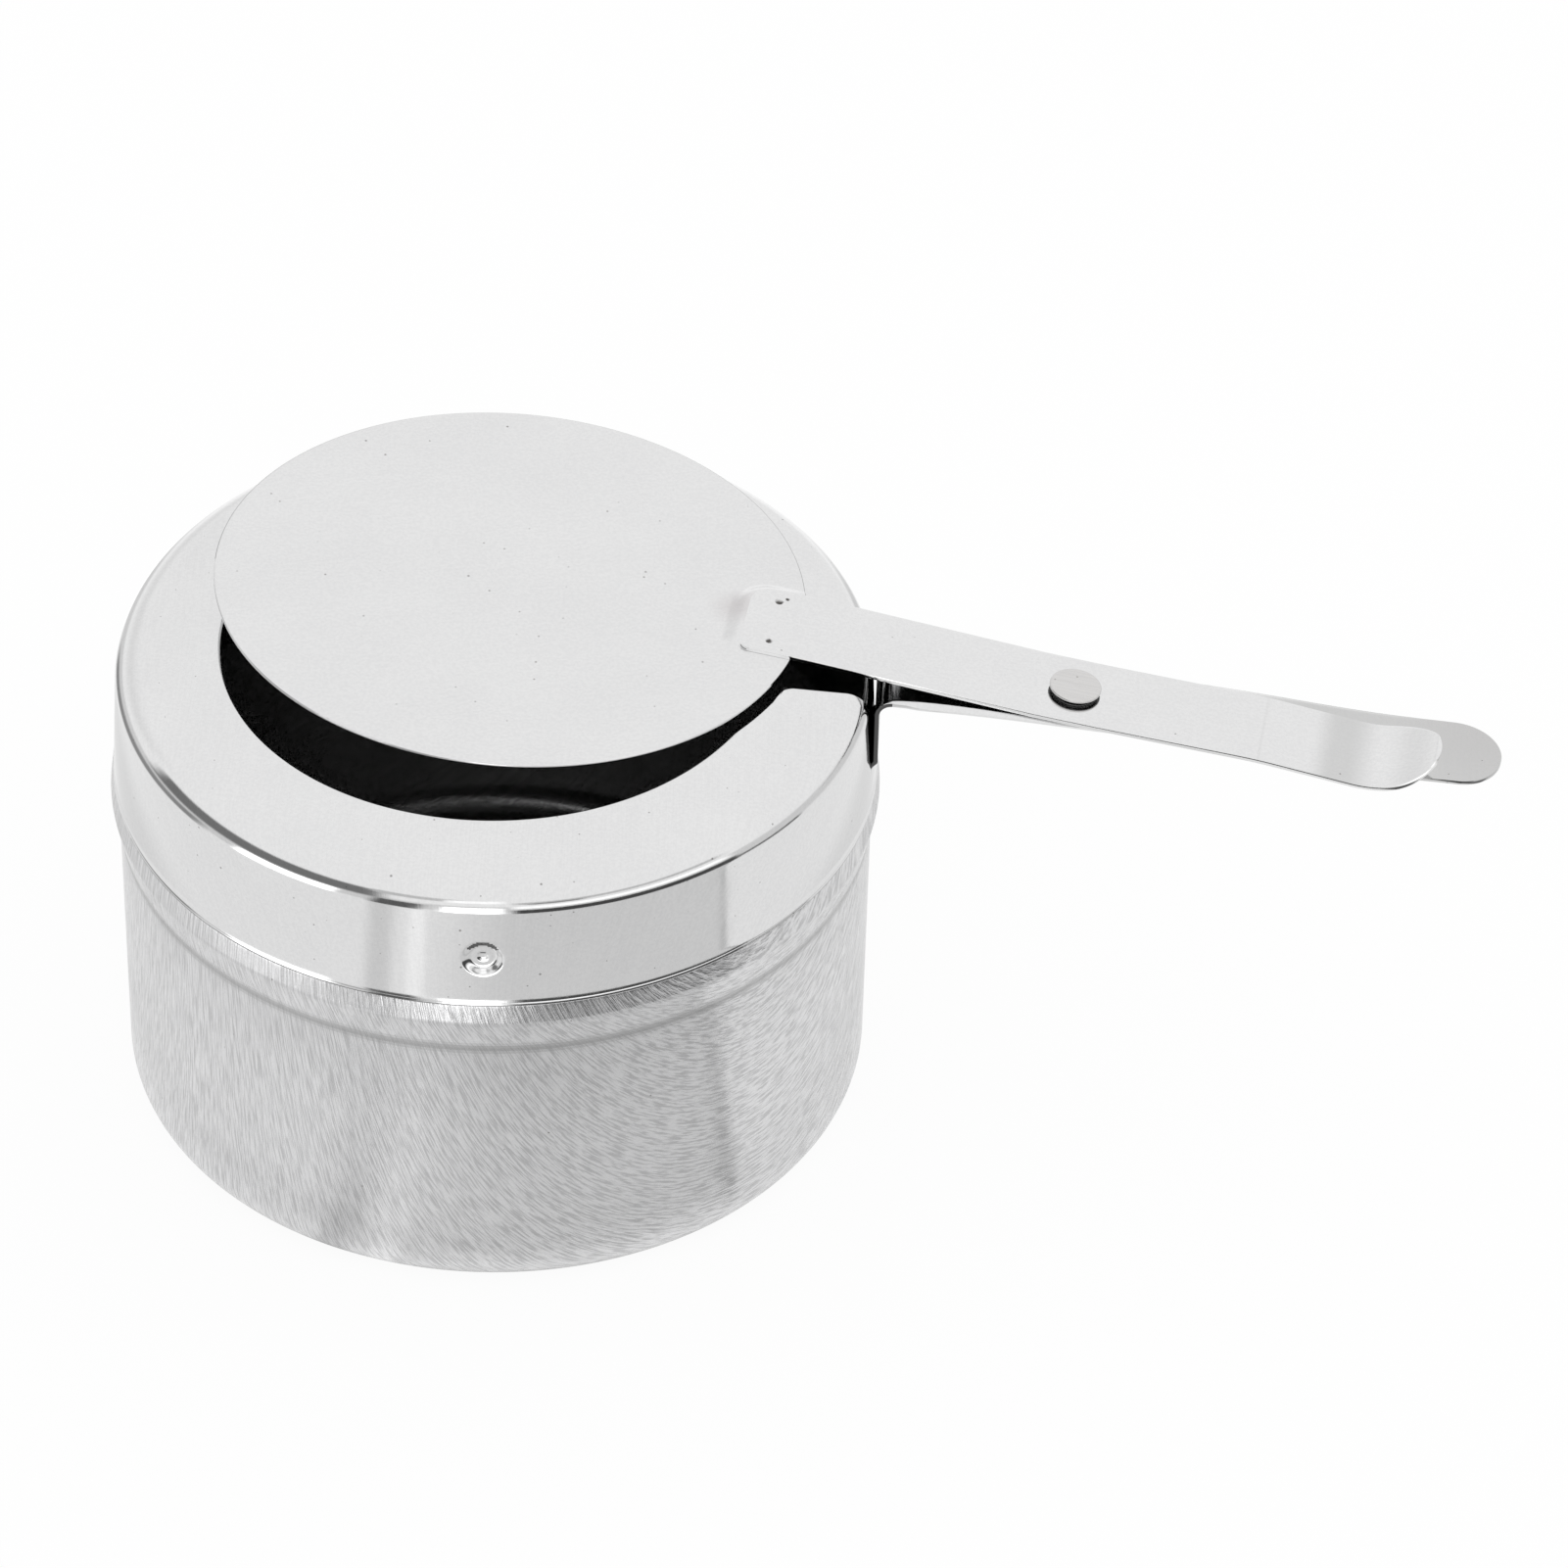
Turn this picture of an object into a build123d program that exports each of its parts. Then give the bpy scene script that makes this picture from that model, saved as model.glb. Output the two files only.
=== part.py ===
from build123d import *
from math import cos, radians, sin, sqrt, tan
import os

# Round steel pot with a loose cap. The cap's tongue is the handle, and a lid disc on a lever
# swivels on a rivet in that handle to open and shut the hole in the cap.
# Millimetres, +Z up, origin at the centre of the base, the handle along +X.

# Sheet thicknesses
pot_sheet = 0.5
cap_sheet = 0.5
lever_sheet = 0.5
disc_sheet = 0.45

# Cap: a ring with a rolled rim and a slightly flared skirt
ring_height = 61.3
cap_radius = 45.0
rim_radius = 3.2
skirt_height = 16.25
skirt_flare = 0.55
opening_radius = 32.5
ring_rise = 0.65

# Dimples that are pressed into the skirt and grip the pot's neck
dimple_count = 3
dimple_diameter = 5.2
dimple_floor = 2.8
dimple_depth = 0.45
dimple_drop = 9.5
dimple_bearing = -88.0

# Pot: a drawn cup with a shouldered bead just under the skirt and a neck inside it
base_taper = 0.3
base_corner = 4.2
bead_radius = 10.0
bead_height = 0.95
bead_drop = 2.85
neck_clearance = 0.3
neck_drop = 2.6
seat_clearance = 0.1

# Handle: a tongue cut out of the cap and bent outward over its rim
tongue_width = 11.0
tongue_reach = 119.7
tongue_stand = 0.35
tongue_bend = 1.95
tongue_root_slope = 2.6
tongue_foot_drop = 11.55
tongue_foot_length = 1.2
tongue_foot_bite = 0.45
tongue_low_slope = 9.8
tongue_tip_slope = 4.6
slot_clearance = 0.3
slot_corner = 0.8
slot_mouth_reach = 34.5
slot_mouth_bearing = 27.5
slot_mouth_bulge = 0.5

# Pivot in the handle
pivot_reach = 68.6
pivot_drop = 3.45
pivot_slope = 6.84
pivot_flat = 8.0
shank_diameter = 3.0
shank_fit = 0.02
shank_play = 0.08
head_diameter = 6.2
head_height = 0.8
head_edge = 0.2
tail_diameter = 5.0
tail_height = 0.8
running_clearance = 0.1

# Lid: the disc and its lever, drawn a little open
lid_opening = 6.85
disc_radius = 35.2
disc_reach = 68.15
disc_drop = 1.25
disc_pitch = 3.44
disc_roll = 1.6
lever_width = 12.0
lever_lap = 6.95
lever_front = 43.8
lever_rise = 1.05
lever_bend_reach = 22.5
lever_bend_rise = 0.25
lever_bend_slope = 3.2
lever_straight = 11.5
lever_soft_bend = 60.0
lever_curl_radius = 13.5
lever_curl_turn = 44.0
lever_near_corner = 1.2
lever_far_corner = 2.8

# Raised pad in the disc, under the end of the lever
pad_margin = 0.5
pad_corner = 2.5
pad_flank = 60.0

# Spot welds that hold the lever on the pad
weld_diameter = 1.1
weld_depth = 0.2
weld_inset = 3.4
weld_spread = 7.6

os.makedirs("parts", exist_ok=True)


def ring_z(drop):
    """Height above the base of a point this far under the ring's outer flat."""
    return ring_height - drop


def skirt_radius(drop):
    """Outer radius of the skirt this far under the ring's outer flat."""
    return cap_radius + skirt_flare * (drop - rim_radius) / (skirt_height - rim_radius)


def ball_radius(width, depth):
    """Radius of the ball that presses a dimple of this width and depth."""
    return (width**2 / 4 + depth**2) / (2 * depth)


def rise_on_arc(radius, offset):
    """How far an arc reaches along its axis, this far to the side of its centre."""
    return sqrt(radius**2 - offset**2)


# Cap: a solid plug of its outer shape, less a plug of its inside
def cap_plug(inset):
    """Solid under the cap's outer face, or under its inner face when drawn in by the sheet."""
    radius = cap_radius - inset
    rim_start = ring_z(rim_radius)
    with BuildPart() as plug:
        with BuildSketch(Plane.XZ):
            with BuildLine():
                skirt = Line((radius + skirt_flare, ring_z(skirt_height)), (radius, rim_start))
                rim = CenterArc((cap_radius - rim_radius, rim_start), rim_radius - inset, 0, 90)
                ring = Line(rim @ 1, (opening_radius, ring_height + ring_rise - inset))
                edge_z = (ring @ 1).Y
                Polyline(ring @ 1, (0, edge_z), (0, ring_z(skirt_height)), skirt @ 0)
            make_face()
        revolve(axis=Axis.Z)
    return plug.part


dimple_places = []
for index in range(dimple_count):
    dimple_turn = dimple_bearing + 360 / dimple_count * index
    outward = Vector(1, 0).rotate(Axis.Z, dimple_turn)
    middle = outward * skirt_radius(dimple_drop) + Vector(0, 0, ring_z(dimple_drop))
    dimple_places.append(Plane(origin=middle, x_dir=(0, 0, 1), z_dir=outward))


def press_dimples(depth):
    """Sinks a flat-bottomed cone this deep into the skirt at every dimple."""
    spread = (dimple_diameter - dimple_floor) / 2
    mouth = dimple_floor / 2 + 2 * spread
    with Locations(*[place.offset(-depth) for place in dimple_places]):
        Cone(
            dimple_floor / 2,
            mouth,
            2 * dimple_depth,
            align=(Align.CENTER, Align.CENTER, Align.MIN),
            mode=Mode.SUBTRACT,
        )


with BuildPart() as cap_inside:
    add(cap_plug(cap_sheet))
    press_dimples(dimple_depth + cap_sheet)

# Handle: the tongue's top line, from its foot on the skirt to its tip, all in tangent arcs
slot_width = tongue_width + 2 * slot_clearance
strip_face = skirt_radius(tongue_foot_drop) + tongue_stand - cap_sheet
foot_end_drop = tongue_foot_drop + tongue_foot_length
foot_end = (skirt_radius(foot_end_drop) - tongue_foot_bite, ring_z(foot_end_drop))

pivot_point = Vector(pivot_reach, 0, ring_z(pivot_drop))
pivot_out = Vector(cos(radians(pivot_slope)), 0, -sin(radians(pivot_slope)))
pivot_axis = Vector(sin(radians(pivot_slope)), 0, cos(radians(pivot_slope)))
pivot_plane = Plane(origin=pivot_point, x_dir=pivot_out, z_dir=pivot_axis)
flat_start = pivot_point - pivot_out * pivot_flat / 2
flat_end = pivot_point + pivot_out * pivot_flat / 2


def slope_sine(slope):
    return sin(radians(slope))


def slope_cosine(slope):
    return cos(radians(slope))


bend_turn = 90 + tongue_root_slope
bend_end = strip_face + tongue_bend * (1 + slope_sine(tongue_root_slope))
arch_run = flat_start.X - bend_end
arch_radius = arch_run / (slope_sine(pivot_slope) - slope_sine(tongue_root_slope))
arch_fall = arch_radius * (slope_cosine(tongue_root_slope) - slope_cosine(pivot_slope))
bend_start_z = flat_start.Z + arch_fall - tongue_bend * slope_cosine(tongue_root_slope)
droop_run = (tongue_reach - flat_end.X) / 2
droop_radius = droop_run / (slope_sine(tongue_low_slope) - slope_sine(pivot_slope))
lift_radius = droop_run / (slope_sine(tongue_low_slope) - slope_sine(tongue_tip_slope))

with BuildPart() as tongue:
    with BuildSketch(Plane.XZ):
        with BuildLine():
            Polyline(
                foot_end,
                (strip_face, ring_z(tongue_foot_drop)),
                (strip_face, bend_start_z),
            )
            bend = JernArc((strip_face, bend_start_z), (0, 1), tongue_bend, -bend_turn)
            arch_turn = tongue_root_slope - pivot_slope
            arch = JernArc(bend @ 1, bend % 1, arch_radius, arch_turn)
            flat = Line(arch @ 1, (flat_end.X, flat_end.Z))
            droop_turn = pivot_slope - tongue_low_slope
            droop = JernArc(flat @ 1, flat % 1, droop_radius, droop_turn)
            lift_turn = tongue_low_slope - tongue_tip_slope
            JernArc(droop @ 1, droop % 1, lift_radius, lift_turn)
            offset(amount=cap_sheet, side=Side.RIGHT)
        make_face()
    extrude(amount=tongue_width / 2, both=True)
    with BuildSketch():
        tip_centre = tongue_reach - tongue_width / 2
        with Locations((tip_centre, 0)):
            Circle(tongue_width / 2)
        Rectangle(tip_centre, tongue_width, align=(Align.MIN, Align.CENTER))
    extrude(amount=ring_height, mode=Mode.INTERSECT)

mouth_start = Vector(opening_radius, 0).rotate(Axis.Z, slot_mouth_bearing)
mouth_end = Vector(slot_mouth_reach, slot_width / 2)
mouth_middle = (mouth_start + mouth_end) / 2 + Vector(slot_mouth_bulge, 0)

with BuildPart() as cap:
    add(cap_plug(0))
    add(cap_inside.part, mode=Mode.SUBTRACT)
    press_dimples(dimple_depth)

    with BuildSketch(Plane.XY.offset(ring_z(rim_radius))):
        Circle(opening_radius)
    extrude(amount=2 * rim_radius, mode=Mode.SUBTRACT)

    # Flared mouth between the opening and the slot
    with BuildSketch(Plane.XY.offset(ring_z(cap_sheet + ring_rise))):
        with BuildLine():
            flare = ThreePointArc(mouth_start, mouth_middle, mouth_end)
            Polyline(flare @ 1, (slot_mouth_reach, 0), (0, 0), flare @ 0)
        make_face()
        mirror(about=Plane.XZ)
    extrude(amount=2 * (cap_sheet + ring_rise), mode=Mode.SUBTRACT)

    # Slot through the ring, the rim and the skirt, down to the tongue's foot
    with BuildSketch(Plane.YZ.offset(slot_mouth_reach)):
        with Locations((0, ring_z(tongue_foot_drop))):
            Rectangle(slot_width, tongue_foot_drop + ring_rise, align=(Align.CENTER, Align.MIN))
        fillet(vertices().group_by(Axis.Y)[0], slot_corner)
    extrude(amount=cap_radius + skirt_flare - slot_mouth_reach, mode=Mode.SUBTRACT)

    add(tongue.part)

    # Hole for the rivet
    with BuildSketch(pivot_plane.offset(cap_sheet)):
        Circle(shank_diameter / 2 + shank_fit)
    extrude(amount=-3 * cap_sheet, mode=Mode.SUBTRACT)

cap.part.label = "cap"
export_step(cap.part, "parts/cap.step")

# Pot: the shoulder of the bead carries the skirt, and the neck stands inside it
body_radius = skirt_radius(skirt_height) - cap_sheet
bead_centre = body_radius + bead_height - bead_radius
bead_z = ring_z(skirt_height + bead_drop)
shoulder_z = ring_z(skirt_height + seat_clearance)
neck_radius = cap_radius - cap_sheet - neck_clearance


def pot_line(inset):
    """Half profile of the pot's outer face, drawn in by the inset."""
    base_radius = body_radius - base_taper
    corner_centre = base_radius - base_corner
    side = body_radius - inset
    neck = neck_radius - inset
    bulge = bead_radius - inset
    shoulder_rise = shoulder_z - inset - bead_z
    crease = (side, bead_z - rise_on_arc(bulge, side - bead_centre))
    shoulder = (bead_centre + rise_on_arc(bulge, shoulder_rise), shoulder_z - inset)
    throat = (neck, shoulder_z - inset)
    base = Line((0, inset), (corner_centre, inset))
    corner = CenterArc((corner_centre, base_corner), base_corner - inset, -90, 90)
    Line(corner @ 1, crease)
    ThreePointArc(crease, (bead_centre + bulge, bead_z), shoulder)
    Line(shoulder, throat)
    top = Line(throat, (neck, ring_z(neck_drop)))
    return base @ 0, top @ 1


with BuildPart() as pot:
    with BuildSketch(Plane.XZ):
        with BuildLine():
            outer_base, outer_top = pot_line(0)
            inner_base, inner_top = pot_line(pot_sheet)
            Line(outer_base, inner_base)
            Line(outer_top, inner_top)
        make_face()
    revolve(axis=Axis.Z)

pot.part.label = "pot"
export_step(pot.part, "parts/pot.step")

# Lid: a frame on the pivot, turned to where the lid stands open
turn = radians(lid_opening)
lever_out = pivot_plane.x_dir * cos(turn) - pivot_plane.y_dir * sin(turn)
lid_plane = Plane(origin=pivot_point, x_dir=lever_out, z_dir=pivot_axis)
lid_side = Plane(origin=pivot_point, x_dir=lever_out, z_dir=-lid_plane.y_dir)

disc_middle = pivot_point - lever_out * disc_reach - pivot_axis * disc_drop
disc_pitch_run = lid_plane.x_dir * tan(radians(disc_pitch))
disc_roll_run = lid_plane.y_dir * tan(radians(disc_roll))
disc_normal = (pivot_axis - disc_pitch_run + disc_roll_run).normalized()
disc_plane = Plane(origin=disc_middle, x_dir=lever_out, z_dir=disc_normal)

lever_back = disc_reach - disc_radius + lever_lap
lever_seat = disc_reach - disc_radius - pad_margin
pad_reach = lever_back + pad_margin
pad_length = pad_reach - lever_seat + 2 * pad_corner
pad_depth = 3 * lever_rise


def press_pad(top):
    """The pad's shape, from this plane down, with sloping flanks."""
    with BuildPart() as shape:
        with BuildSketch(top):
            with Locations((-pad_reach, 0)):
                RectangleRounded(
                    pad_length,
                    lever_width + 2 * pad_margin,
                    pad_corner,
                    align=(Align.MIN, Align.CENTER),
                )
        extrude(amount=-pad_depth, taper=-pad_flank)
    return shape.part


with BuildPart() as disc_column:
    with BuildSketch(disc_plane.offset(-disc_sheet)):
        Circle(disc_radius)
    extrude(amount=pad_depth)

pad_plane = lid_plane.offset(lever_rise)
pad = press_pad(pad_plane)
pad_hollow = press_pad(pad_plane.offset(-disc_sheet))

with BuildPart() as lid_disc:
    with BuildSketch(disc_plane):
        Circle(disc_radius)
    extrude(amount=-disc_sheet)
    add(pad)
    add(disc_column.part, mode=Mode.INTERSECT)
    add(pad_hollow, mode=Mode.SUBTRACT)

lid_disc.part.label = "lid_disc"
export_step(lid_disc.part, "parts/lid_disc.step")

# Lever: its underside line in the side view, then its outline from above
bend_fall = lever_straight * tan(radians(lever_bend_slope))
curl_start = (lever_bend_reach + lever_straight, running_clearance + lever_bend_rise - bend_fall)
lever_line = [
    (-lever_back, lever_rise),
    (-lever_seat, lever_rise),
    (-pivot_flat / 2, running_clearance),
    (pivot_flat / 2, running_clearance),
    (lever_bend_reach, running_clearance + lever_bend_rise),
    curl_start,
]

with BuildPart() as lever:
    with BuildSketch(lid_side):
        with BuildLine():
            strip = FilletPolyline(*lever_line, radius=lever_soft_bend)
            JernArc(strip @ 1, strip % 1, lever_curl_radius, lever_curl_turn)
            offset(amount=lever_sheet, side=Side.LEFT)
        make_face()
    extrude(amount=lever_width / 2, both=True)

    with BuildSketch(lid_plane.offset(-lever_curl_radius / 2)):
        tip_centre = lever_front - lever_width / 2
        with BuildLine():
            Polyline(
                (tip_centre, -lever_width / 2),
                (-lever_back, -lever_width / 2),
                (-lever_back, lever_width / 2),
                (tip_centre, lever_width / 2),
            )
            ThreePointArc(
                (tip_centre, lever_width / 2),
                (lever_front, 0),
                (tip_centre, -lever_width / 2),
            )
        make_face()
        back_corners = vertices().group_by(Axis.X)[0].sort_by(Axis.Y)
        fillet(back_corners[0], lever_near_corner)
        fillet(vertices().group_by(Axis.X)[0].sort_by(Axis.Y)[-1], lever_far_corner)
    extrude(amount=lever_curl_radius, mode=Mode.INTERSECT)

    with BuildSketch(lid_plane):
        Circle(shank_diameter / 2 + shank_play)
    extrude(amount=running_clearance + 2 * lever_sheet, mode=Mode.SUBTRACT)

    # Spot welds
    weld_ball = ball_radius(weld_diameter, weld_depth)
    weld_height = lever_rise + lever_sheet - weld_depth + weld_ball
    weld_points = [
        lid_plane.from_local_coords(Vector(weld_inset - lever_back, side, weld_height))
        for side in (-weld_spread / 2, weld_spread / 2)
    ]
    with Locations(*weld_points):
        Sphere(weld_ball, mode=Mode.SUBTRACT)

lever.part.label = "lever"
export_step(lever.part, "parts/lever.step")

# Rivet: its head holds the lever down, and its tail is clinched under the handle
head_base = lever_sheet + 2 * running_clearance

with BuildPart() as rivet:
    with BuildSketch(pivot_plane.offset(-cap_sheet)):
        Circle(shank_diameter / 2)
    extrude(amount=cap_sheet + head_base)
    with BuildSketch(pivot_plane.offset(head_base)):
        Circle(head_diameter / 2)
    extrude(amount=head_height)
    fillet(edges().sort_by(Axis(pivot_point, pivot_axis))[-1], head_edge)
    with BuildSketch(pivot_plane.offset(-cap_sheet)):
        Circle(tail_diameter / 2)
    extrude(amount=-tail_height)
    fillet(edges().sort_by(Axis(pivot_point, pivot_axis))[0], head_edge)

rivet.part.label = "rivet"
export_step(rivet.part, "parts/rivet.step")
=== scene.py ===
import math

import bmesh
import bpy
from mathutils import Matrix, Vector


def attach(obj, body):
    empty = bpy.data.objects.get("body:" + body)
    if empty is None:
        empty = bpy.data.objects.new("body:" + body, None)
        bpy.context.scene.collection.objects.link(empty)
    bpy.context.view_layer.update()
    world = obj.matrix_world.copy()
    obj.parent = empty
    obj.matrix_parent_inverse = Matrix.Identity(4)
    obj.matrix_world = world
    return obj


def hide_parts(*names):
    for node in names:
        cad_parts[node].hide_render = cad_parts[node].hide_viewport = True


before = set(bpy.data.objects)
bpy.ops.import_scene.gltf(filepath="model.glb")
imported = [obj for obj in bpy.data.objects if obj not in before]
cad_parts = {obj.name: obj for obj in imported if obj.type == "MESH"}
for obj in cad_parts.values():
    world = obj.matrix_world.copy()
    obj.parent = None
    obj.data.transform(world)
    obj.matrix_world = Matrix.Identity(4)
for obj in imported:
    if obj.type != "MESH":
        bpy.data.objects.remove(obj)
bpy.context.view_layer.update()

mm = 0.001
degree = math.pi / 180

# Sizes of the object, as the frame has them

ring_height = 61.3 * mm
cap_radius = 45.0 * mm
rim_radius = 3.2 * mm
skirt_height = 16.25 * mm
skirt_flare = 0.55 * mm
lip_height = 0.3 * mm
lip_flare = 0.1 * mm
opening_radius = 32.5 * mm
ring_rise = 0.65 * mm
cap_sheet = 0.5 * mm

dimple_count = 3
dimple_diameter = 5.2 * mm
dimple_wall = 1.2 * mm
dimple_depth = 0.5 * mm
dimple_drop = 9.5 * mm
dimple_bearing = -88.0 * degree

pot_sheet = 0.5 * mm
base_taper = 0.3 * mm
base_corner = 4.2 * mm
bead_radius = 10.0 * mm
bead_height = 0.95 * mm
bead_drop = 2.85 * mm
bead_round = 2.0 * mm
neck_clearance = 0.3 * mm
neck_drop = 2.6 * mm
seat_clearance = 0.1 * mm

tongue_width = 11.0 * mm
tongue_reach = 119.7 * mm
tongue_stand = 0.35 * mm
tongue_bend = 1.95 * mm
tongue_root_slope = 2.6 * degree
tongue_foot_drop = 11.55 * mm
tongue_low_slope = 9.8 * degree
tongue_tip_slope = 4.6 * degree
tongue_fold = 0.25 * mm
slot_clearance = 0.3 * mm
slot_mouth_reach = 34.5 * mm
slot_mouth_bearing = 27.5 * degree
slot_mouth_bulge = 0.5 * mm

pivot_reach = 68.6 * mm
pivot_drop = 3.45 * mm
pivot_slope = 6.84 * degree
pivot_flat = 8.0 * mm
shank_diameter = 3.0 * mm
shank_play = 0.08 * mm
head_diameter = 6.2 * mm
head_height = 0.8 * mm
tail_diameter = 5.0 * mm
tail_height = 0.8 * mm
running_clearance = 0.1 * mm

lid_opening = 6.85 * degree
disc_sheet = 0.45 * mm
disc_radius = 35.2 * mm
disc_reach = 68.15 * mm
disc_drop = 1.25 * mm
disc_pitch = 3.44 * degree
disc_roll = 1.6 * degree
lever_sheet = 0.5 * mm
lever_width = 12.0 * mm
lever_lap = 6.95 * mm
lever_front = 43.8 * mm
lever_rise = 1.05 * mm
lever_bend_reach = 22.5 * mm
lever_bend_rise = 0.25 * mm
lever_bend_slope = 3.2 * degree
lever_straight = 11.5 * mm
lever_soft_bend = 60.0 * mm
lever_curl_radius = 13.5 * mm
lever_curl_turn = 44.0 * degree
lever_near_corner = 1.2 * mm
lever_far_corner = 2.8 * mm
pad_margin = 0.1 * mm
pad_corner = 2.5 * mm
pad_near_flank = 0.9 * mm
pad_end_flank = 2.4 * mm
weld_inset = 3.4 * mm
weld_spread = 7.6 * mm

edge_round = 0.08 * mm


# Small helpers for outlines

def spread(start, stop, step):
    """Evenly spaced values from start to stop, about a step apart."""
    count = max(1, round(abs(stop - start) / step))
    return [start + (stop - start) * index / count for index in range(count + 1)]


def merged(values, least):
    """Sorted values, with those closer than the least gap left out."""
    kept = []
    for value in sorted(values):
        if not kept or value - kept[-1] > least:
            kept.append(value)
    return kept


def smoothstep(value):
    value = min(max(value, 0.0), 1.0)
    return value * value * (3 - 2 * value)


def between(start, end, step):
    """Unrounded corners on the straight line between two points, without its ends."""
    count = max(2, round(math.dist(start, end) / step))
    shares = spread(0, 1, 1 / count)[1:-1]
    return [tuple(low + (high - low) * share for low, high in zip(start, end)) + (0,) for share in shares]


def arc(centre, radius, start, stop):
    """Points on an arc between two angles."""
    return [
        (centre[0] + radius * math.cos(angle), centre[1] + radius * math.sin(angle))
        for angle in spread(start, stop, 4 * degree)
    ]


def follow(line, radius, stop, step):
    """Carries a line of points with headings on along an arc, until it heads as the stop says."""
    x, z, heading = line[-1]
    turn = stop - heading
    side = math.copysign(radius, turn)
    for angle in spread(0, turn, step)[1:]:
        new_x = x + side * (math.sin(heading + angle) - math.sin(heading))
        new_z = z - side * (math.cos(heading + angle) - math.cos(heading))
        line.append((new_x, new_z, heading + angle))


def rounded_path(corners, step=8 * degree):
    """A path through corners given as x, y and radius, with the corners rounded."""
    path = [corners[0][:2]]
    for before, corner, after in zip(corners, corners[1:], corners[2:]):
        here = Vector(corner[:2])
        back = (Vector(before[:2]) - here).normalized()
        ahead = (Vector(after[:2]) - here).normalized()
        half = math.acos(max(-1, min(1, back.dot(ahead)))) / 2
        if corner[2] == 0 or math.pi / 2 - half < 1e-4:
            path.append(corner[:2])
            continue
        reach = corner[2] / math.tan(half)
        centre = here + (back + ahead).normalized() * corner[2] / math.sin(half)
        first = here + back * reach - centre
        last = here + ahead * reach - centre
        turn = first.angle_signed(last)
        for angle in spread(0, -turn, step):
            point = centre + Matrix.Rotation(angle, 2) @ first
            path.append((point.x, point.y))
    path.append(corners[-1][:2])
    return path


# Mesh building

def make_piece(name, points, faces):
    mesh = bpy.data.meshes.new(name)
    mesh.from_pydata([tuple(point) for point in points], [], faces)
    piece = bpy.data.objects.new(name, mesh)
    bpy.context.scene.collection.objects.link(piece)
    return piece


def grid_faces(rows, columns, offset=0, closed=False):
    """Quads between rows of points, with the last column joined to the first when closed."""
    faces = []
    last = columns if closed else columns - 1
    for row in range(rows - 1):
        for column in range(last):
            beside = (column + 1) % columns
            low = offset + row * columns
            high = low + columns
            faces.append((low + column, low + beside, high + beside, high + column))
    return faces


def clean(piece):
    """Merges doubles and turns the faces outward."""
    work = bmesh.new()
    work.from_mesh(piece.data)
    bmesh.ops.remove_doubles(work, verts=work.verts, dist=0.001 * mm)
    bmesh.ops.recalc_face_normals(work, faces=work.faces)
    work.to_mesh(piece.data)
    work.free()


def bake_modifiers(piece):
    """Turns the piece with its modifiers into a plain mesh."""
    graph = bpy.context.evaluated_depsgraph_get()
    baked = bpy.data.meshes.new_from_object(piece.evaluated_get(graph))
    piece.modifiers.clear()
    piece.data = baked


def shade(piece):
    piece.data.polygons.foreach_set("use_smooth", [True] * len(piece.data.polygons))
    piece.data.set_sharp_from_angle(angle=35 * degree)


def sheet_metal(name, points, faces, thickness):
    """A sheet from its upper face, with its thickness below and softly rounded edges."""
    piece = make_piece(name, points, faces)
    clean(piece)
    top = max(piece.data.polygons, key=lambda face: face.center.z)
    if top.normal.z < 0:
        piece.data.flip_normals()
    wall = piece.modifiers.new("wall", "SOLIDIFY")
    wall.thickness = thickness
    wall.offset = -1
    wall.use_even_offset = True
    bevel = piece.modifiers.new("edges", "BEVEL")
    bevel.width = edge_round
    bevel.segments = 2
    bevel.limit_method = "ANGLE"
    bevel.angle_limit = 50 * degree
    bake_modifiers(piece)
    shade(piece)
    return piece


def drill(piece, start, direction, radius, length):
    """Cuts a round hole through the piece."""
    turn = Vector((0, 0, 1)).rotation_difference(direction).to_matrix().to_4x4()
    place = Matrix.Translation(start + direction * length / 2) @ turn
    work = bmesh.new()
    bmesh.ops.create_cone(
        work, cap_ends=True, segments=48, radius1=radius, radius2=radius, depth=length, matrix=place
    )
    cutter = make_piece("drill", [], [])
    work.to_mesh(cutter.data)
    work.free()
    hole = piece.modifiers.new("hole", "BOOLEAN")
    hole.object = cutter
    hole.operation = "DIFFERENCE"
    hole.solver = "EXACT"
    bake_modifiers(piece)
    bpy.data.objects.remove(cutter)
    shade(piece)


# Node helpers

def feed(value, socket):
    """Joins a value or another socket to this socket."""
    if isinstance(value, bpy.types.NodeSocket):
        socket.id_data.links.new(value, socket)
    else:
        socket.default_value = value


def new_node(kind, *values):
    """A new node in the tree that holds the first socket among the values."""
    socket = next(value for value in values if isinstance(value, bpy.types.NodeSocket))
    return socket.id_data.nodes.new(kind)


def fill(node, **values):
    """Feeds the node's inputs, which are named with underscores for blanks."""
    for label, value in values.items():
        feed(value, node.inputs[label.replace("_", " ")])
    return node


def calc(operation, *values, kind="ShaderNodeMath"):
    node = new_node(kind, *values)
    node.operation = operation
    for socket, value in zip(node.inputs, values):
        feed(value, socket)
    return node.outputs[0]


def product(first, *others):
    for other in others:
        first = calc("MULTIPLY", first, other)
    return first


def total(first, *others):
    for other in others:
        first = calc("ADD", first, other)
    return first


def gap(first, second):
    """How far two numbers are apart."""
    return calc("ABSOLUTE", calc("SUBTRACT", first, second))


def reach_of(x, y):
    """Distance from the upright axis."""
    return calc("SQRT", total(product(x, x), product(y, y)))


def split(vector):
    node = new_node("ShaderNodeSeparateXYZ", vector)
    feed(vector, node.inputs[0])
    return node.outputs


def joined(*parts):
    node = new_node("ShaderNodeCombineXYZ", *parts)
    for socket, value in zip(node.inputs, parts):
        feed(value, socket)
    return node.outputs[0]


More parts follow.
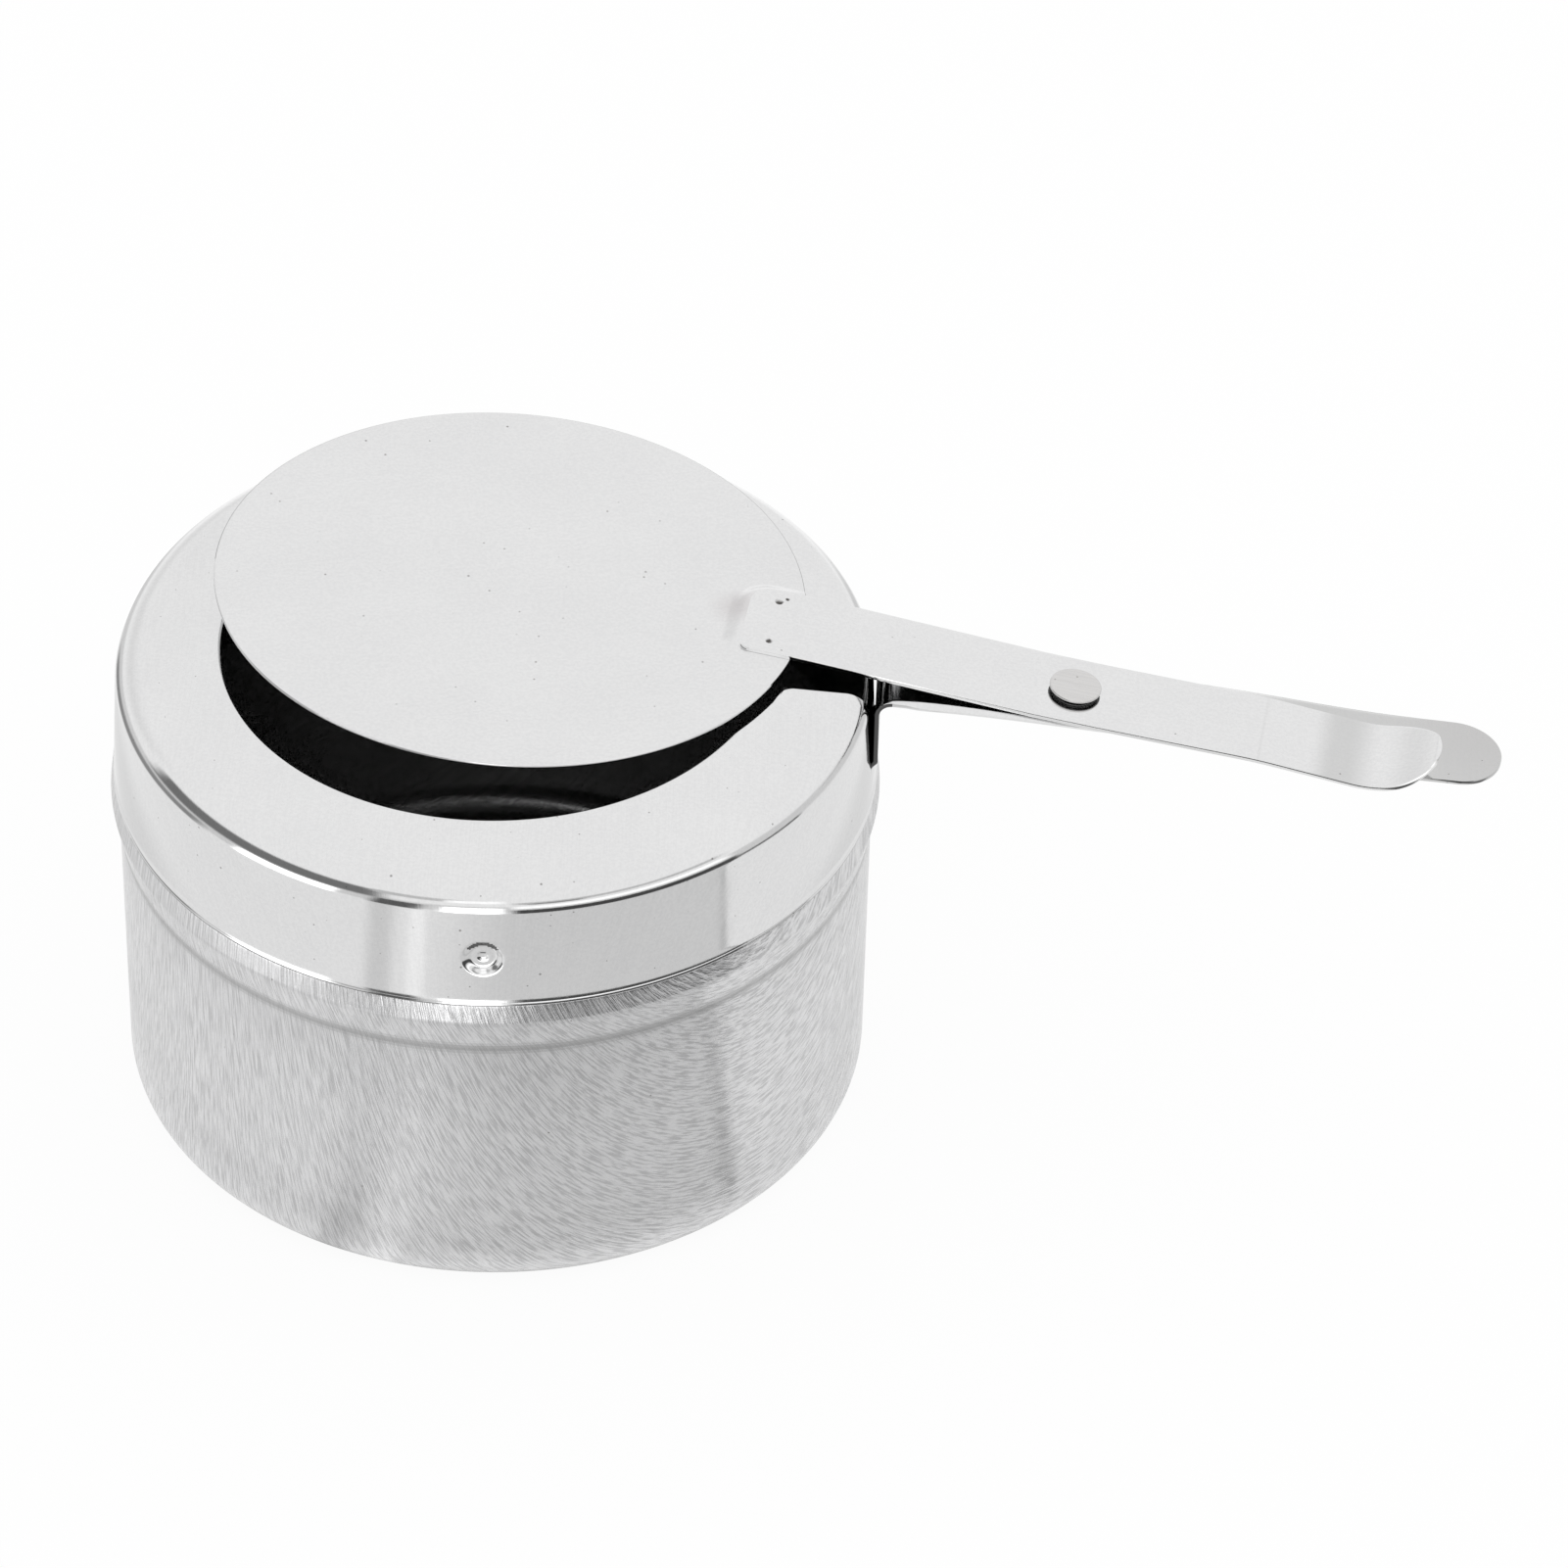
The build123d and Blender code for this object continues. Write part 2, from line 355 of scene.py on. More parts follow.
def new_group(name, kind, **sockets):
    """An empty node group and the sockets inside it. Those that it puts out start with out_."""
    tree = bpy.data.node_groups.new(name, kind)
    for label, socket in sockets.items():
        side = "OUTPUT" if label.startswith("out_") else "INPUT"
        label = label.removeprefix("out_").replace("_", " ")
        tree.interface.new_socket(label, in_out=side, socket_type="NodeSocket" + socket)
    return tree, tree.nodes.new("NodeGroupInput").outputs, tree.nodes.new("NodeGroupOutput").inputs


# Turned pieces

def make_sweep():
    """Geometry nodes that turn a profile round the upright axis into a closed wall."""
    tree, given, out = new_group(
        "turned profile", "GeometryNodeTree", Geometry="Geometry", Profile="Object", Rows="Int",
        Columns="Int", Metal="Material", out_Geometry="Geometry",
    )

    whole = "FunctionNodeIntegerMath"
    across = calc("ADD", given["Columns"], 1, kind=whole)
    grid = fill(tree.nodes.new("GeometryNodeMeshGrid"), Vertices_X=across, Vertices_Y=given["Rows"])
    index = tree.nodes.new("GeometryNodeInputIndex").outputs[0]
    row = calc("MODULO", index, given["Rows"], kind=whole)
    column = calc("DIVIDE_FLOOR", index, given["Rows"], kind=whole)

    drawn = fill(tree.nodes.new("GeometryNodeObjectInfo"), Object=given["Profile"])
    position = tree.nodes.new("GeometryNodeInputPosition").outputs[0]
    picked = tree.nodes.new("GeometryNodeSampleIndex")
    picked.data_type = "FLOAT_VECTOR"
    fill(picked, Geometry=drawn.outputs["Geometry"], Value=position, Index=row)
    radius, _, height = split(picked.outputs["Value"])

    turn = product(calc("DIVIDE", column, given["Columns"]), 2 * math.pi)
    x = product(radius, calc("COSINE", turn))
    y = product(radius, calc("SINE", turn))
    mesh = grid.outputs["Mesh"]
    for kind, values in (
        ("SetPosition", {"Position": joined(x, y, height)}),
        ("MergeByDistance", {"Distance": 0.001 * mm}),
        ("RealizeInstances", {}),
        ("SetMaterial", {"Material": given["Metal"]}),
    ):
        node = fill(tree.nodes.new("GeometryNode" + kind), Geometry=mesh, **values)
        mesh = node.outputs[0]
    feed(mesh, out["Geometry"])
    return tree


turned_profile = make_sweep()


def turned(name, profile, columns):
    """A solid of revolution from a profile that starts and ends on the axis."""
    drawn = make_piece(name + "_profile", [(radius, 0, height) for radius, height in profile], [])
    piece = make_piece(name, [], [])
    sweep = piece.modifiers.new("sweep", "NODES")
    sweep.node_group = turned_profile
    values = {"Profile": drawn, "Rows": len(profile), "Columns": columns}
    for socket in turned_profile.interface.items_tree:
        if socket.in_out == "INPUT" and socket.name in values:
            sweep[socket.identifier] = values[socket.name]
    bake_modifiers(piece)
    bpy.data.objects.remove(drawn)
    clean(piece)
    shade(piece)
    return piece


# Frames on the pivot and the lid

pivot_point = Vector((pivot_reach, 0, ring_height - pivot_drop))
pivot_out = Vector((math.cos(pivot_slope), 0, -math.sin(pivot_slope)))
pivot_side = Vector((0, 1, 0))
pivot_axis = Vector((math.sin(pivot_slope), 0, math.cos(pivot_slope)))
lever_out = pivot_out * math.cos(lid_opening) - pivot_side * math.sin(lid_opening)
lever_side = pivot_axis.cross(lever_out)
lever_back = disc_reach - disc_radius + lever_lap


def on_lid(out, side, height):
    """A point of the lid in the object's frame, from its place along, across and above."""
    return pivot_point + lever_out * out + lever_side * side + pivot_axis * height


# Pot, with a bead whose crease and shoulder lie on one arc

body_radius = cap_radius + skirt_flare - cap_sheet
bead_middle = body_radius + bead_height - bead_radius
skirt_z = ring_height - skirt_height
bead_z = skirt_z - bead_drop
shoulder_z = skirt_z - seat_clearance
crease_z = bead_z - math.sqrt(bead_radius**2 - (body_radius - bead_middle) ** 2)
shoulder_radius = bead_middle + math.sqrt(bead_radius**2 - (shoulder_z - bead_z) ** 2)


def pot_profile():
    """The pot's outer face from the base up, then its inner face back down."""
    def face(inset, crease_round, shoulder_round, throat_round):
        side = body_radius - inset
        neck = cap_radius - cap_sheet - neck_clearance - inset
        corners = [(0, inset, 0), (side - base_taper, inset, base_corner - inset)]
        for below in spread(3 * mm, 0.4 * mm, 0.4 * mm):
            share = below / (crease_z - base_corner)
            corners.append((side - base_taper * share, crease_z - below, 0))
        crease = (side, crease_z)
        crown = (side + bead_height, bead_z)
        shoulder = (shoulder_radius - inset, shoulder_z - inset)
        corners.append((*crease, crease_round))
        corners += between(crease, crown, 0.5 * mm)
        corners.append((*crown, bead_round - inset))
        corners += between(crown, shoulder, 0.5 * mm)
        corners.append((*shoulder, shoulder_round))
        corners.append((neck, shoulder_z - inset, throat_round))
        corners.append((neck, ring_height - neck_drop, 0.2 * mm))
        return corners

    outside = face(0, 0.25 * mm, 0.12 * mm, 0.2 * mm)
    inside = face(pot_sheet, 0.3 * mm, 0.2 * mm, 0.1 * mm)
    return rounded_path(outside + inside[::-1])


pot = turned("pot_shell", pot_profile(), 320)


# Cap: one surface for the ring, rim and skirt, with the tongue running up between two slits

slot_half = tongue_width / 2 + slot_clearance
foot_z = ring_height - tongue_foot_drop
strip_face = cap_radius + skirt_flare * (tongue_foot_drop - rim_radius) / (skirt_height - rim_radius)
strip_face += tongue_stand


def skirt_radius(height):
    share = (ring_height - rim_radius - height) / (skirt_height - rim_radius)
    return cap_radius + skirt_flare * share


def mouth_edge(radius):
    """Angle from the handle to the edge of the slot or its flared mouth, at this radius."""
    straight = math.asin(slot_half / radius)
    start = Vector((math.cos(slot_mouth_bearing), math.sin(slot_mouth_bearing))) * opening_radius
    end = Vector((slot_mouth_reach, slot_half))
    middle = (start + end) / 2 + Vector((slot_mouth_bulge, 0))
    if radius >= end.length:
        return straight
    low, high = 0.0, 1.0
    for _ in range(30):
        share = (low + high) / 2
        curve = start * (1 - share) ** 2 + (2 * middle - (start + end) / 2) * 2 * share * (1 - share)
        point = curve + end * share**2
        if point.length < radius:
            low = share
        else:
            high = share
    return math.atan2(point.y, point.x)


def dimple_sink(angle, height, radius):
    """How far the skirt is pressed in at this place."""
    sink = 0.0
    for index in range(dimple_count):
        bearing = dimple_bearing + 2 * math.pi * index / dimple_count
        across = (angle - bearing + math.pi) % (2 * math.pi) - math.pi
        reach = math.hypot(across * radius, height - (ring_height - dimple_drop))
        wall = (dimple_diameter / 2 - reach) / dimple_wall
        pip = 0.12 * mm * smoothstep((0.75 * mm - reach) / (0.35 * mm))
        sink = max(sink, dimple_depth * smoothstep(wall) + pip)
    return sink


def cap_profile():
    """Radius and height down the outer face of the cap, from the opening to the skirt's edge."""
    rim_middle = (cap_radius - rim_radius, ring_height - rim_radius)
    profile = []
    mouth_end = math.hypot(slot_mouth_reach, slot_half)
    radii = spread(opening_radius, mouth_end, 0.3 * mm) + spread(mouth_end, rim_middle[0], 1.1 * mm)[1:]
    for radius in radii:
        share = (rim_middle[0] - radius) / (rim_middle[0] - opening_radius)
        profile.append((radius, ring_height + ring_rise * share))
    profile += arc(rim_middle, rim_radius, 86 * degree, 0)
    dimple_z = ring_height - dimple_drop
    reach = dimple_diameter / 2 + 0.4 * mm
    rim_z = rim_middle[1]
    heights = spread(rim_z - 0.8 * mm, dimple_z + reach, 0.8 * mm)
    heights += spread(dimple_z + reach, foot_z, 0.2 * mm)[1:]
    heights += spread(foot_z, dimple_z - reach, 0.2 * mm)[1:]
    lip_z = skirt_z + lip_height
    heights += spread(dimple_z - reach, lip_z, 0.8 * mm)[1:]
    profile += [(skirt_radius(height), height) for height in heights]
    for share in (0.2, 1.0):
        height = lip_z - lip_height * share
        profile.append((skirt_radius(height) + lip_flare * share, height))
    return profile


def tongue_line():
    """Side view of the tongue's under face, from the foot to the tip, as points and directions."""
    bend_end = strip_face - cap_sheet + tongue_bend * (1 + math.sin(tongue_root_slope))
    flat_start = pivot_point - pivot_out * pivot_flat / 2
    flat_end = pivot_point + pivot_out * pivot_flat / 2
    arch_run = flat_start.x - bend_end
    arch_radius = arch_run / (math.sin(pivot_slope) - math.sin(tongue_root_slope))
    arch_fall = arch_radius * (math.cos(tongue_root_slope) - math.cos(pivot_slope))
    bend_start_z = flat_start.z + arch_fall - tongue_bend * math.cos(tongue_root_slope)
    droop_run = (tongue_reach - flat_end.x) / 2
    droop_radius = droop_run / (math.sin(tongue_low_slope) - math.sin(pivot_slope))
    lift_radius = droop_run / (math.sin(tongue_low_slope) - math.sin(tongue_tip_slope))
    joggle_z = foot_z + 1.1 * mm

    upright = spread(joggle_z, bend_start_z, 1 * mm)
    line = [(strip_face - cap_sheet, height, math.pi / 2) for height in upright]
    follow(line, tongue_bend, -tongue_root_slope, 5 * degree)
    follow(line, arch_radius, -pivot_slope, 0.4 * degree)
    x, z, heading = line[-1]
    for along in spread(0, pivot_flat, 1 * mm)[1:]:
        line.append((x + along * math.cos(heading), z + along * math.sin(heading), heading))
    follow(line, droop_radius, -tongue_low_slope, 0.3 * degree)
    follow(line, lift_radius, -tongue_tip_slope, 0.3 * degree)
    return [
        (x + cap_sheet * math.sin(heading), z - cap_sheet * math.cos(heading))
        for x, z, heading in line
    ]


def build_cap():
    profile = cap_profile()
    around = spread(0, 1, 1 / 240)
    for index in range(dimple_count):
        bearing = (dimple_bearing + 2 * math.pi * index / dimple_count) % (2 * math.pi)
        skirt_edge = math.asin(slot_half / cap_radius)
        middle = (bearing - skirt_edge) / (2 * math.pi - 2 * skirt_edge)
        reach = (dimple_diameter / 2 + 0.4 * mm) / (2 * math.pi * cap_radius)
        around += spread(middle - reach, middle + reach, 0.22 * mm / (2 * math.pi * cap_radius))
    around = merged(around, 0.1 * mm / (2 * math.pi * cap_radius))
    around[-1] = 1.0

    points = []
    for radius, height in profile:
        edge = mouth_edge(radius)
        for share in around:
            angle = edge + (2 * math.pi - 2 * edge) * share
            sunk = radius - dimple_sink(angle, height, radius)
            points.append((sunk * math.cos(angle), sunk * math.sin(angle), height))
    faces = grid_faces(len(profile), len(around))

    # The skirt under the slits, which carries on up as the tongue
    half = tongue_width / 2
    middle = spread(-half + 1 * mm, half - 1 * mm, 0.9 * mm)
    edges = spread(half - 0.8 * mm, half, 0.2 * mm)
    across = [-slot_half] + [-side for side in edges[::-1]] + middle + edges + [slot_half]
    below = [item for item in profile if item[1] <= foot_z + 1e-9]
    start = len(points)
    for radius, height in reversed(below):
        for side in across:
            points.append((math.sqrt(radius**2 - side**2), side, height))
    rows = len(below)
    faces += grid_faces(rows, len(across), start)

    strip = [(strip_face, height) for height in spread(foot_z + 0.2 * mm, foot_z + 1.0 * mm, 0.2 * mm)]
    line = strip + tongue_line()
    tip_middle = tongue_reach - tongue_width / 2 - 0.05 * mm
    body = [item for item in line if item[0] < tip_middle]
    tip_z = {item[0]: item[1] for item in line}
    reached = sorted(x for x in tip_z if x > tip_middle - 4 * mm)

    def height_at(x):
        """Height of the tongue's under face at this reach near the tip."""
        after = next((place for place in reached if place >= x), reached[-1])
        before = max((place for place in reached if place < after), default=after)
        share = 0 if after == before else (x - before) / (after - before)
        return tip_z[before] + (tip_z[after] - tip_z[before]) * share

    nose = []
    for angle in spread(0, 88 * degree, 4 * degree):
        x = tip_middle + tongue_width / 2 * math.sin(angle)
        nose.append((x, height_at(x), math.cos(angle)))
    stretch = [(x, z, 1.0) for x, z in body] + nose

    inner = across[1:-1]
    bend_reach = strip_face + 2.5 * mm
    foot_row = start + (rows - 1) * len(across) + 1
    first = len(points)
    foot_radius = skirt_radius(foot_z)
    for x, z, narrow in stretch:
        lift = smoothstep((z - foot_z) / (1.0 * mm)) if x <= strip_face + 1e-9 else 1.0
        for side in inner:
            curved = math.sqrt(foot_radius**2 - side**2)
            beside = tongue_width / 2 - abs(side)
            fold = tongue_fold * max(1 - beside / (0.9 * mm), 0) ** 2
            fold *= smoothstep((x - bend_reach) / (2 * mm)) * smoothstep((tip_middle - x) / (9 * mm))
            points.append((curved + (x - curved) * lift, side * narrow, z - fold))
    faces += grid_faces(len(stretch), len(inner), first)
    for column in range(len(inner) - 1):
        faces.append((foot_row + column, foot_row + column + 1, first + column + 1, first + column))

    piece = sheet_metal("cap_shell", points, faces, cap_sheet)
    drill(piece, pivot_point - pivot_axis * 3 * mm, pivot_axis, shank_diameter / 2 + 0.02 * mm, 5 * mm)
    return piece


cap = build_cap()


# Lid disc, with the raised pad under the end of the lever

disc_middle = on_lid(-disc_reach, 0, -disc_drop)
disc_normal = pivot_axis - lever_out * math.tan(disc_pitch) + lever_side * math.tan(disc_roll)
disc_normal.normalize()
disc_out = (lever_out - disc_normal * lever_out.dot(disc_normal)).normalized()
disc_side = disc_normal.cross(disc_out)


def pad_rise(point):
    """How far the pad lifts the disc's sheet at this point of its flat."""
    local = point - pivot_point
    out = local.dot(lever_out)
    side = local.dot(lever_side)
    height = local.dot(pivot_axis)
    half = lever_width / 2 + pad_margin
    reach = lever_back + pad_margin
    dx = max(-reach + pad_corner - out, 0)
    dy = max(abs(side) - half + pad_corner, 0)
    beyond = math.hypot(dx, dy) - pad_corner
    lean = math.atan2(dx, dy) / (math.pi / 2) if side < 0 else 1.0
    flank = pad_near_flank + (pad_end_flank - pad_near_flank) * lean
    full = lever_rise - 0.02 * mm - height
    return max(full, 0) * smoothstep(1 - beyond / flank)


def build_disc():
    dense_turn = 17 * degree
    turns = spread(-dense_turn, dense_turn, 0.3 * mm / disc_radius)
    turns += spread(dense_turn, 2 * math.pi - dense_turn, 2 * degree)[1:-1]
    radii = spread(0.5 * mm, 22 * mm, 2.1 * mm) + spread(22.3 * mm, disc_radius, 0.3 * mm)
    points = []
    for radius in radii:
        for turn in turns:
            flat = disc_middle + disc_out * radius * math.cos(turn) + disc_side * radius * math.sin(turn)
            points.append(flat + pivot_axis * pad_rise(flat))
    faces = grid_faces(len(radii), len(turns), closed=True)
    centre = len(points)
    points.append(disc_middle)
    for column in range(len(turns)):
        faces.append((centre, column, (column + 1) % len(turns)))
    return sheet_metal("lid_plate", points, faces, disc_sheet)


lid_disc = build_disc()


# Lever, from its side view and its outline from above

def lever_line():
    """Side view of the lever's top face: places along and above the pivot's plane."""
    corners = [
        (-lever_back, lever_rise, 0),
        (-(disc_reach - disc_radius) + 0.5 * mm, lever_rise, lever_soft_bend),
        (-pivot_flat / 2, running_clearance, lever_soft_bend),
        (pivot_flat / 2, running_clearance, lever_soft_bend),
        (lever_bend_reach, running_clearance + lever_bend_rise, lever_soft_bend),
    ]
    fall = lever_straight * math.tan(lever_bend_slope)
    end = (lever_bend_reach + lever_straight, running_clearance + lever_bend_rise - fall)
    under = rounded_path(corners + [(*end, 0)], 0.5 * degree)
    heading = math.atan2(end[1] - corners[-1][1], end[0] - corners[-1][0])
    curl = [(*end, heading)]
    follow(curl, lever_curl_radius, heading + lever_curl_turn, 2 * degree)
    under += [place[:2] for place in curl[1:]]
    top = []
    for index, (out, height) in enumerate(under):
        before = under[max(index - 1, 0)]
        after = under[min(index + 1, len(under) - 1)]
        slope = math.atan2(after[1] - before[1], after[0] - before[0])
        top.append((out - lever_sheet * math.sin(slope), height + lever_sheet * math.cos(slope)))
    return top


def build_lever():
    line = lever_line()
    half = lever_width / 2
    tip_middle = lever_front - half

    def height_at(out):
        for first, second in zip(line, line[1:]):
            if second[0] >= out:
                share = (out - first[0]) / (second[0] - first[0])
                return first[1] + (second[1] - first[1]) * share
        return line[-1][1]

    quarter = spread(0, math.pi / 2, 0.13)
    weld_end = -lever_back + 5.2 * mm
    places = [-lever_back + lever_far_corner * (1 - math.cos(angle)) for angle in quarter]
    places += spread(-lever_back + lever_far_corner, weld_end, 0.14 * mm)
    places += spread(weld_end, tip_middle, 0.9 * mm)
    places += [tip_middle + half * math.sin(angle) for angle in spread(0, 87 * degree, 0.06)]
    places = merged(places, 0.01 * mm)
    weld_sides = (-weld_spread / 2, weld_spread / 2)
    sides = spread(-1, 1, 0.08)
    for side in weld_sides:
        sides += spread((side - 0.8 * mm) / half, (side + 0.8 * mm) / half, 0.14 * mm / half)
    sides = merged(sides, 0.01)

    def reach_to_side(out, corner):
        short = corner - (out + lever_back)
        limit = half
        if short > 0:
            limit = half - corner + math.sqrt(max(corner**2 - short**2, 0))
        if out > tip_middle:
            limit = math.sqrt(max(half**2 - (out - tip_middle) ** 2, 0))
        return limit

    points = []
    for out in places:
        low = -reach_to_side(out, lever_near_corner)
        high = reach_to_side(out, lever_far_corner)
        for share in sides:
            side = low + (high - low) * (share + 1) / 2
            height = height_at(out)
            for weld in weld_sides:
                reach = math.hypot(out + lever_back - weld_inset, side - weld)
                height -= 0.2 * mm * smoothstep((0.62 * mm - reach) / (0.4 * mm))
            points.append(on_lid(out, side, height))
    piece = sheet_metal("lever_strip", points, grid_faces(len(places), len(sides)), lever_sheet)
    drill(piece, pivot_point - pivot_axis * 1 * mm, pivot_axis, shank_diameter / 2 + shank_play, 3 * mm)
    return piece


lever = build_lever()


# Rivet

def build_rivet():
    head_base = lever_sheet + 2 * running_clearance
    tail_base = -cap_sheet
    shank = shank_diameter / 2
    corners = [
        (0, tail_base - tail_height, 0),
        (tail_diameter / 2, tail_base - tail_height, 0.35 * mm),
        (tail_diameter / 2, tail_base, 0.1 * mm),
        (shank, tail_base, 0),
        (shank, head_base, 0),
        (head_diameter / 2 - 0.5 * mm, head_base, 0.05 * mm),
        (head_diameter / 2 - 0.5 * mm, head_base + head_height / 2, 0.05 * mm),
        (head_diameter / 2, head_base + head_height / 2, 0.1 * mm),
        (head_diameter / 2, head_base + head_height, 0.2 * mm),
        (0.7 * mm, head_base + head_height, 0.3 * mm),
        (0.35 * mm, head_base + head_height - 0.12 * mm, 0.2 * mm),
        (0, head_base + head_height - 0.12 * mm, 0),
    ]
    piece = turned("rivet_body", rounded_path(corners, 15 * degree), 64)
    turn = Matrix((pivot_out, pivot_side, pivot_axis)).transposed().to_4x4()
    piece.data.transform(Matrix.Translation(pivot_point) @ turn)
    return piece


rivet = build_rivet()


# Shader helpers

def new_effect(name, numbers, results, vectors=""):
    """An empty shader group. Its sockets are named in text, parted by blanks."""
    sockets = {label: "Vector" for label in vectors.split()}
    sockets |= {label: "Float" for label in numbers.split()}
    sockets |= {"out_" + label: "Float" for label in results.split()}
    return new_group(name, "ShaderNodeTree", **sockets)


def ramp(value, low, high, start=0.0, stop=1.0):
    """A soft step: start below the low value, stop above the high one."""
    node = new_node("ShaderNodeMapRange", value)
    node.interpolation_type = "SMOOTHSTEP"
    fill(node, Value=value, From_Min=low, From_Max=high, To_Min=start, To_Max=stop)
    return node.outputs["Result"]


def mixed(share, first, second, kind="RGBA"):
    node = new_node("ShaderNodeMix", share)
    node.data_type = kind
    sockets = [item for item in node.inputs if item.enabled]
    for socket, value in zip(sockets, (share, first, second)):
        feed(value, socket)
    return next(item for item in node.outputs if item.enabled)


def noise(vector, scale, detail=2.0, roughness=0.5):
    node = new_node("ShaderNodeTexNoise", vector)
    fill(node, Vector=vector, Scale=scale, Detail=detail, Roughness=roughness)
    return node.outputs["Fac"]


def use_group(tree, group, **values):
    """Places a group and fills its inputs."""
    node = tree.nodes.new("ShaderNodeGroup")
    node.node_tree = group
    return fill(node, **values).outputs


def object_place(tree):
    return tree.nodes.new("ShaderNodeTexCoord").outputs["Object"]


def vector_calc(operation, first, second, result="Value"):
    node = new_node("ShaderNodeVectorMath", first)
    node.operation = operation
    feed(first, node.inputs[0])
    feed(second, node.inputs["Scale" if operation == "SCALE" else 1])
    return node.outputs[result]


# Shared effects of the metal

def make_drawn_grain():
    """Rolling grain of a flat sheet, carried along where the sheet was drawn into a wall."""
    sizes = "Roll_Turn Flat_Height Draw Line_Width Line_Length"
    tree, given, out = new_effect("drawn grain", sizes, "Height Tone")
    x, y, z = split(object_place(tree))
    rise = gap(z, given["Flat Height"])
    ratio = calc("DIVIDE", rise, calc("MAXIMUM", reach_of(x, y), 5 * mm))
    pull = product(ratio, 2.0, given["Draw"])
    stretch = calc("SQRT", total(pull, 1.0))
    turn = given["Roll Turn"]
    cosine = calc("COSINE", turn)
    sine = calc("SINE", turn)
    along = total(product(x, cosine), product(y, sine))
    across = calc("SUBTRACT", product(y, cosine), product(x, sine))
    long_step = calc("DIVIDE", product(along, stretch), given["Line Length"])
    short_step = calc("DIVIDE", product(across, stretch), given["Line Width"])
    lines = noise(joined(long_step, short_step, 0.0), 1.0, 2.0, 0.6)
    broad = noise(joined(product(long_step, 1.4), short_step, 7.0), 0.45)
    streaks = noise(joined(product(long_step, 0.2), short_step, 3.0), 0.22, 3.0)
    broad_share = 0.12
    height = total(product(lines, 1 - broad_share), product(broad, broad_share))
    feed(height, out["Height"])
    feed(streaks, out["Tone"])
    return tree


def make_pebble():
    """The fine pebbled skin of cold rolled sheet."""
    tree, given, out = new_effect("rolled skin", "Grain_Size", "Height Cloud")
    grains = calc("DIVIDE", 1.0, given["Grain Size"])
    place = vector_calc("SCALE", object_place(tree), grains, "Vector")
    feed(noise(place, 1.0), out["Height"])
    feed(noise(place, 0.03, 4.0, 0.6), out["Cloud"])
    return tree


def make_specks():
    """Small dark specks and nicks, one to some of the cells that fill the surface."""
    tree, given, out = new_effect("specks", "Spacing Size Share", "Mask")
    cells = tree.nodes.new("ShaderNodeTexVoronoi")
    fill(cells, Vector=object_place(tree), Scale=calc("DIVIDE", 1.0, given["Spacing"]))
    reach = product(cells.outputs["Distance"], given["Spacing"])
    draw, _, growth = split(cells.outputs["Color"])
    size = product(given["Size"], total(growth, 0.4))
    spot = ramp(reach, size, product(size, 0.4))
    chosen = calc("LESS_THAN", draw, given["Share"])
    feed(product(spot, chosen), out["Mask"])
    return tree


def make_soft_spot():
    """A soft round spot at one place, with broken ridges. It draws finger smudges, weld burns, a darker
    spot on the tongue and painted shade beside the lever's end.
    """
    tree, given, out = new_effect("soft_spot", "Radius Ridges", "Mask", "Centre")
    place = object_place(tree)
    soft = ramp(vector_calc("DISTANCE", place, given["Centre"]), given["Radius"], 0.0)
    ridges = ramp(noise(place, 900.0, 3.0, 0.7), 0.35, 0.65)
    ridges = mixed(given["Ridges"], 1.0, ridges, "FLOAT")
    feed(product(soft, ridges), out["Mask"])
    return tree


def make_darker_band():
    """A darker band across a strip, from its start along one direction."""
    tree, given, out = new_effect("darker band", "Rise Hold Fall", "Mask", "Start Direction")
    local = vector_calc("SUBTRACT", object_place(tree), given["Start"], "Vector")
    reach = vector_calc("DOT_PRODUCT", local, given["Direction"])
    grow = ramp(reach, 0.0, given["Rise"])
    hold = total(given["Rise"], given["Hold"])
    fade = ramp(reach, hold, total(hold, given["Fall"]), 1.0, 0.0)
    feed(product(grow, fade), out["Mask"])
    return tree


drawn_grain = make_drawn_grain()
rolled_skin = make_pebble()
specks = make_specks()
soft_spot = make_soft_spot()
darker_band = make_darker_band()


# Materials

cloud_paint = (0.64, 0.64, 0.65, 1)
smudge_and_shade_paint = (0.5, 0.45, 0.455, 1)
band_paint = (0.48, 0.48, 0.475, 1)
burn_paint = (0.09, 0.085, 0.08, 1)
speck_paint = (0.18, 0.17, 0.16, 1)
skin_grain = 0.4 * mm
speck_spacing = 1.3 * mm
speck_size = 0.15 * mm


